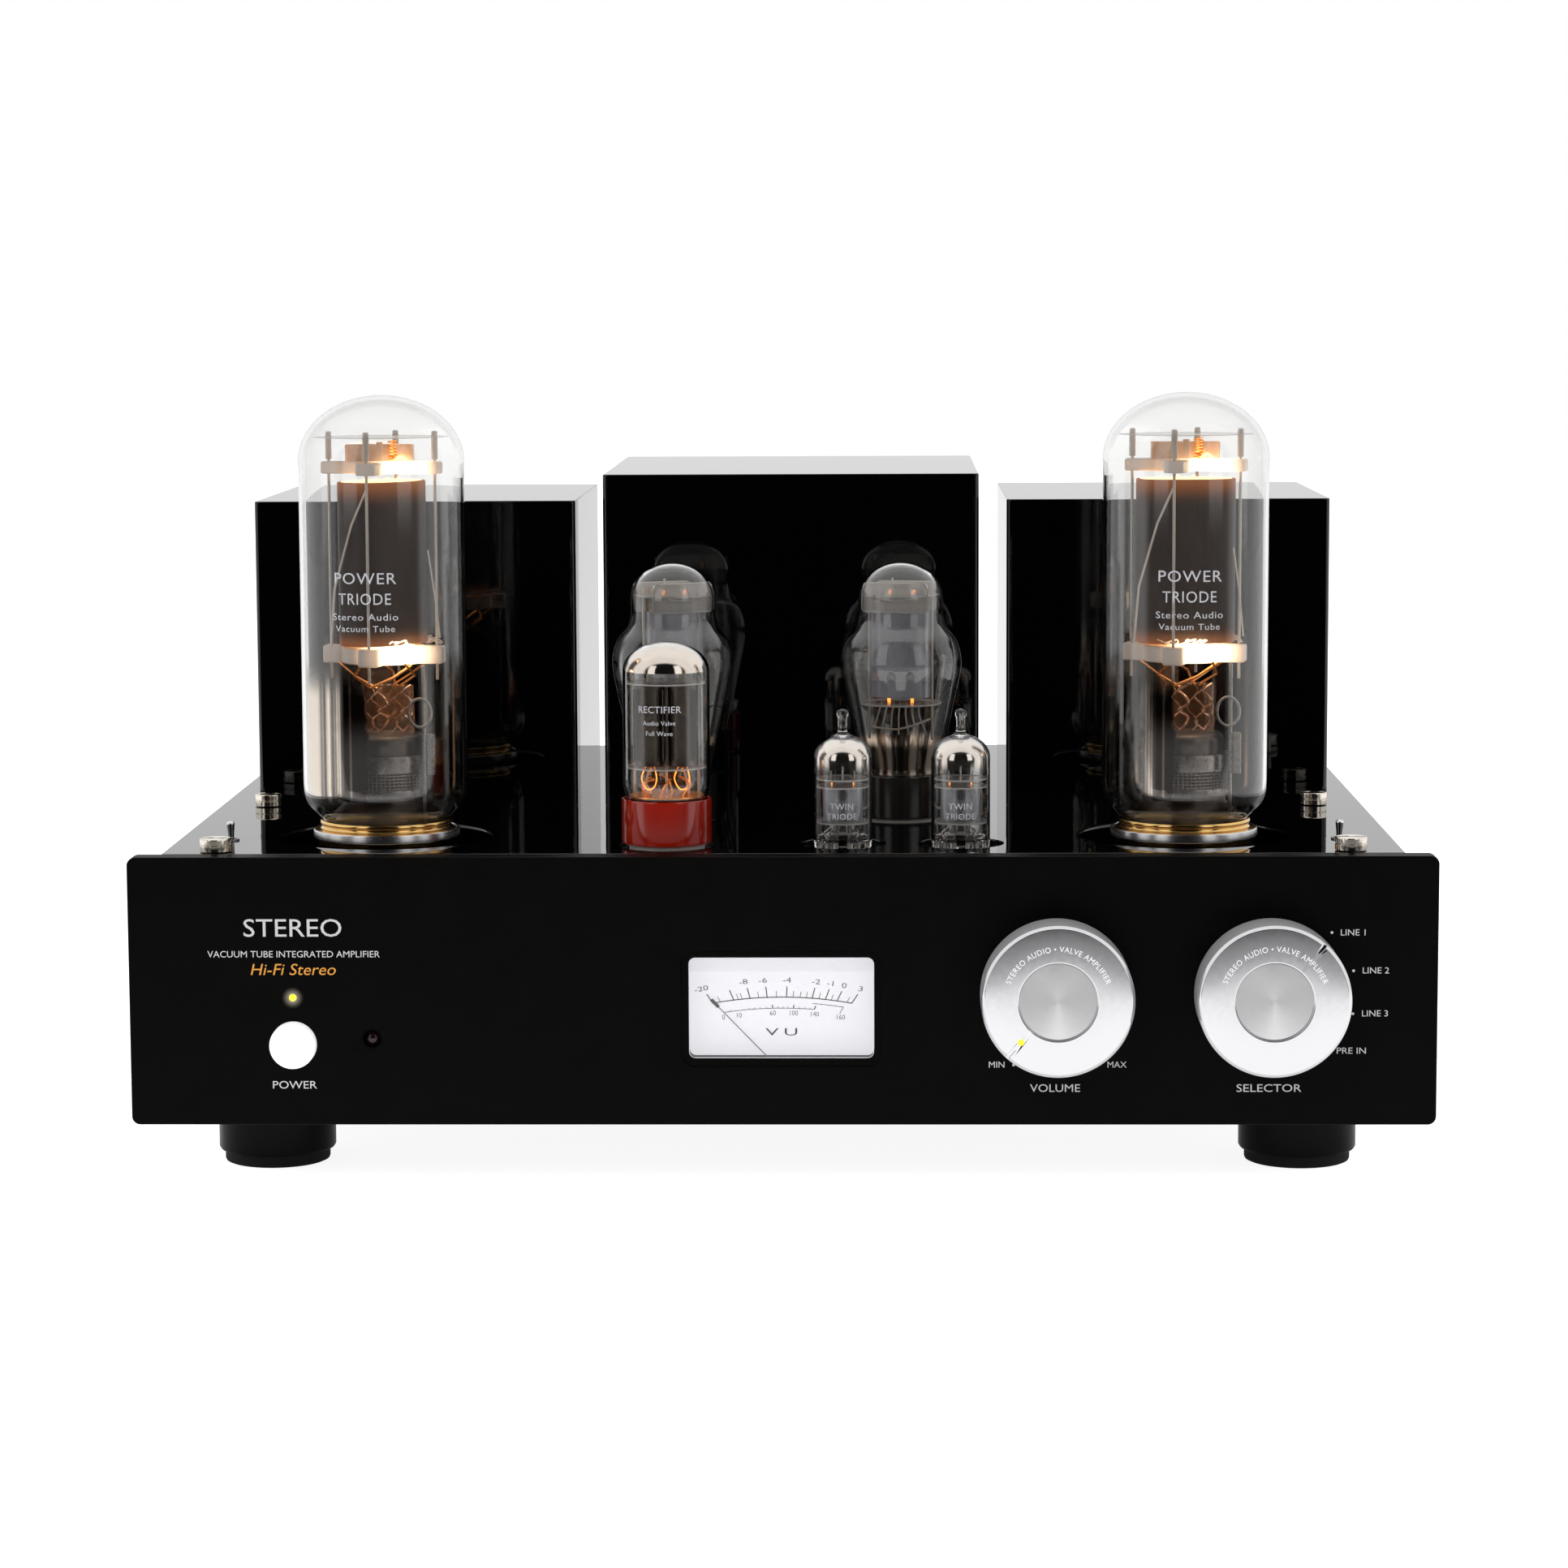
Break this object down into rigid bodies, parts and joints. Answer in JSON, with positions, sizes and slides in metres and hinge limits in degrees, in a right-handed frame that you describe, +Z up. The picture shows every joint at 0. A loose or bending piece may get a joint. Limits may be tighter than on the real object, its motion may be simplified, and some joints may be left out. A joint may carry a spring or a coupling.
{
  "type": "integrated amplifier",
  "caption": "Valve integrated amplifier with a thick black front panel, level meter, volume and selector knobs, glowing valves on a gloss deck and transformer covers behind.",
  "frame": {"origin": "middle of the outline on the surface the feet stand on", "axes": "+X to the right as seen from the front, +Y to the rear (the front panel faces -Y), +Z up"},
  "size_m": [0.465, 0.407, 0.2831],
  "materials": {
    "satin_black": "satin black anodised",
    "gloss_black": "high gloss black",
    "chassis_black": "fine powder coat",
    "foot_black": "dark anodised, turned",
    "rubber_black": "matte",
    "steel_screw": "machined",
    "lamination": "varnished laminations",
    "copper_coil": "enamelled copper under tape",
    "board_green": "solder mask",
    "capacitor_blue": "printed sleeve",
    "ceramic_white": "glazed",
    "brass_gold": "polished",
    "collar_aluminium": "turned, brushed",
    "socket_black": "moulded",
    "lamp_yellow": "glowing lamp",
    "eye_dark": "infrared filter",
    "dial_cream": "printed, lit from behind",
    "clear_lens": "clear, polished",
    "pot_grey": "plated can",
    "switch_brown": "laminated wafer",
    "trim_blue": "moulded",
    "toggle_black": "moulded",
    "terminal_red": "insulated, moulded",
    "jack_gold": "gold plated",
    "inlet_black": "moulded",
    "valve_glass": "blown, clear",
    "base_red": "moulded phenolic",
    "base_black": "moulded phenolic",
    "valve_metal": "nickel plated sheet",
    "button_white": "smooth",
    "needle_black": "matte",
    "knob_aluminium": "spun, anodised",
    "shaft_steel": "turned",
    "cap_chrome": "polished"
  },
  "bodies": {
    "chassis": {"front_panel": "satin_black", "deck_plate": "gloss_black", "chassis_frame": "chassis_black", "rear_panel": "chassis_black", "bottom_plate": "chassis_black", "feet": "foot_black", "foot_pads": "rubber_black", "foot_screws": "steel_screw", "left_transformer_cover": "gloss_black", "center_transformer_cover": "gloss_black", "right_transformer_cover": "gloss_black", "transformer_cores": "lamination", "transformer_coils": "copper_coil", "filter_choke": "lamination", "circuit_board": "board_green", "filter_capacitors": "capacitor_blue", "power_valve_sockets": "ceramic_white", "power_socket_shells": "brass_gold", "power_socket_collars": "collar_aluminium", "octal_sockets": "ceramic_white", "noval_sockets": "socket_black", "power_switch": "toggle_black", "power_led": "lamp_yellow", "ir_receiver": "eye_dark", "meter_case": "socket_black", "meter_dial": "dial_cream", "meter_lens": "clear_lens", "volume_pot": "pot_grey", "selector_switch": "switch_brown", "trim_pots": "trim_blue", "toggle_switches": "toggle_black", "speaker_sockets": "terminal_red", "input_jacks": "jack_gold", "mains_inlet": "inlet_black"},
    "left_power_valve": {"left_power_valve_base": "brass_gold", "left_power_valve_glass": "valve_glass"},
    "right_power_valve": {"right_power_valve_base": "brass_gold", "right_power_valve_glass": "valve_glass"},
    "rectifier": {"rectifier_base": "base_red", "rectifier_glass": "valve_glass"},
    "left_driver": {"left_driver_base": "base_black", "left_driver_glass": "valve_glass"},
    "right_driver": {"right_driver_base": "base_black", "right_driver_glass": "valve_glass"},
    "left_input_valve": {"left_input_valve_mount": "valve_metal", "left_input_valve_glass": "valve_glass"},
    "right_input_valve": {"right_input_valve_mount": "valve_metal", "right_input_valve_glass": "valve_glass"},
    "power_button": {"power_button": "button_white"},
    "needle": {"meter_needle": "needle_black"},
    "volume": {"volume_knob": "knob_aluminium", "volume_shaft": "shaft_steel"},
    "selector": {"selector_knob": "knob_aluminium", "selector_shaft": "shaft_steel"},
    "left_toggle": {"left_toggle_lever": "cap_chrome"},
    "right_toggle": {"right_toggle_lever": "cap_chrome"},
    "left_front_trim": {"left_front_trim_cap": "cap_chrome"},
    "right_front_trim": {"right_front_trim_cap": "cap_chrome"},
    "left_rear_trim": {"left_rear_trim_cap": "cap_chrome"},
    "right_rear_trim": {"right_rear_trim_cap": "cap_chrome"}
  },
  "joints": [
    {"name": "left_power_valve_lift", "type": "slide", "parent": "chassis", "child": "left_power_valve", "axis": [0, 0, 1], "range_m": [0, 0.06]},
    {"name": "right_power_valve_lift", "type": "slide", "parent": "chassis", "child": "right_power_valve", "axis": [0, 0, 1], "range_m": [0, 0.06]},
    {"name": "rectifier_lift", "type": "slide", "parent": "chassis", "child": "rectifier", "axis": [0, 0, 1], "range_m": [0, 0.025]},
    {"name": "left_driver_lift", "type": "slide", "parent": "chassis", "child": "left_driver", "axis": [0, 0, 1], "range_m": [0, 0.025]},
    {"name": "right_driver_lift", "type": "slide", "parent": "chassis", "child": "right_driver", "axis": [0, 0, 1], "range_m": [0, 0.025]},
    {"name": "left_input_valve_lift", "type": "slide", "parent": "chassis", "child": "left_input_valve", "axis": [0, 0, 1], "range_m": [0, 0.02]},
    {"name": "right_input_valve_lift", "type": "slide", "parent": "chassis", "child": "right_input_valve", "axis": [0, 0, 1], "range_m": [0, 0.02]},
    {"name": "power_button_press", "type": "slide", "parent": "chassis", "child": "power_button", "axis": [0, 1, 0], "range_m": [0, 0.003], "stiffness_N_per_m": 400, "springref_m": -0.002},
    {"name": "needle_swing", "type": "hinge", "parent": "chassis", "child": "needle", "pos_m": [0, -0.1733, 0.0424], "axis": [0, 1, 0], "range_deg": [0, 88], "stiffness_Nm_per_rad": 0.00002, "springref_deg": -11.46},
    {"name": "volume_turn", "type": "hinge", "parent": "chassis", "child": "volume", "pos_m": [0.0975, -0.1835, 0.0726], "axis": [0, 1, 0], "range_deg": [-12.5, 287.5]},
    {"name": "selector_turn", "type": "hinge", "parent": "chassis", "child": "selector", "pos_m": [0.1732, -0.1835, 0.0726], "axis": [0, 1, 0], "range_deg": [0, 94]},
    {"name": "left_toggle_throw", "type": "hinge", "parent": "chassis", "child": "left_toggle", "pos_m": [-0.202, -0.1365, 0.1194], "axis": [-1, 0, 0], "range_deg": [0, 20]},
    {"name": "right_toggle_throw", "type": "hinge", "parent": "chassis", "child": "right_toggle", "pos_m": [0.202, -0.1365, 0.1194], "axis": [-1, 0, 0], "range_deg": [0, 20]},
    {"name": "left_front_trim_turn", "type": "hinge", "parent": "chassis", "child": "left_front_trim", "pos_m": [-0.203, -0.1671, 0.1214], "axis": [0, 0, -1], "range_deg": [-150, 150]},
    {"name": "left_rear_trim_turn", "type": "hinge", "parent": "chassis", "child": "left_rear_trim", "pos_m": [-0.203, -0.0355, 0.1214], "axis": [0, 0, -1], "range_deg": [-150, 150]},
    {"name": "right_front_trim_turn", "type": "hinge", "parent": "chassis", "child": "right_front_trim", "pos_m": [0.203, -0.1671, 0.1214], "axis": [0, 0, -1], "range_deg": [-150, 150]},
    {"name": "right_rear_trim_turn", "type": "hinge", "parent": "chassis", "child": "right_rear_trim", "pos_m": [0.203, -0.0355, 0.1214], "axis": [0, 0, -1], "range_deg": [-150, 150]}
  ]
}
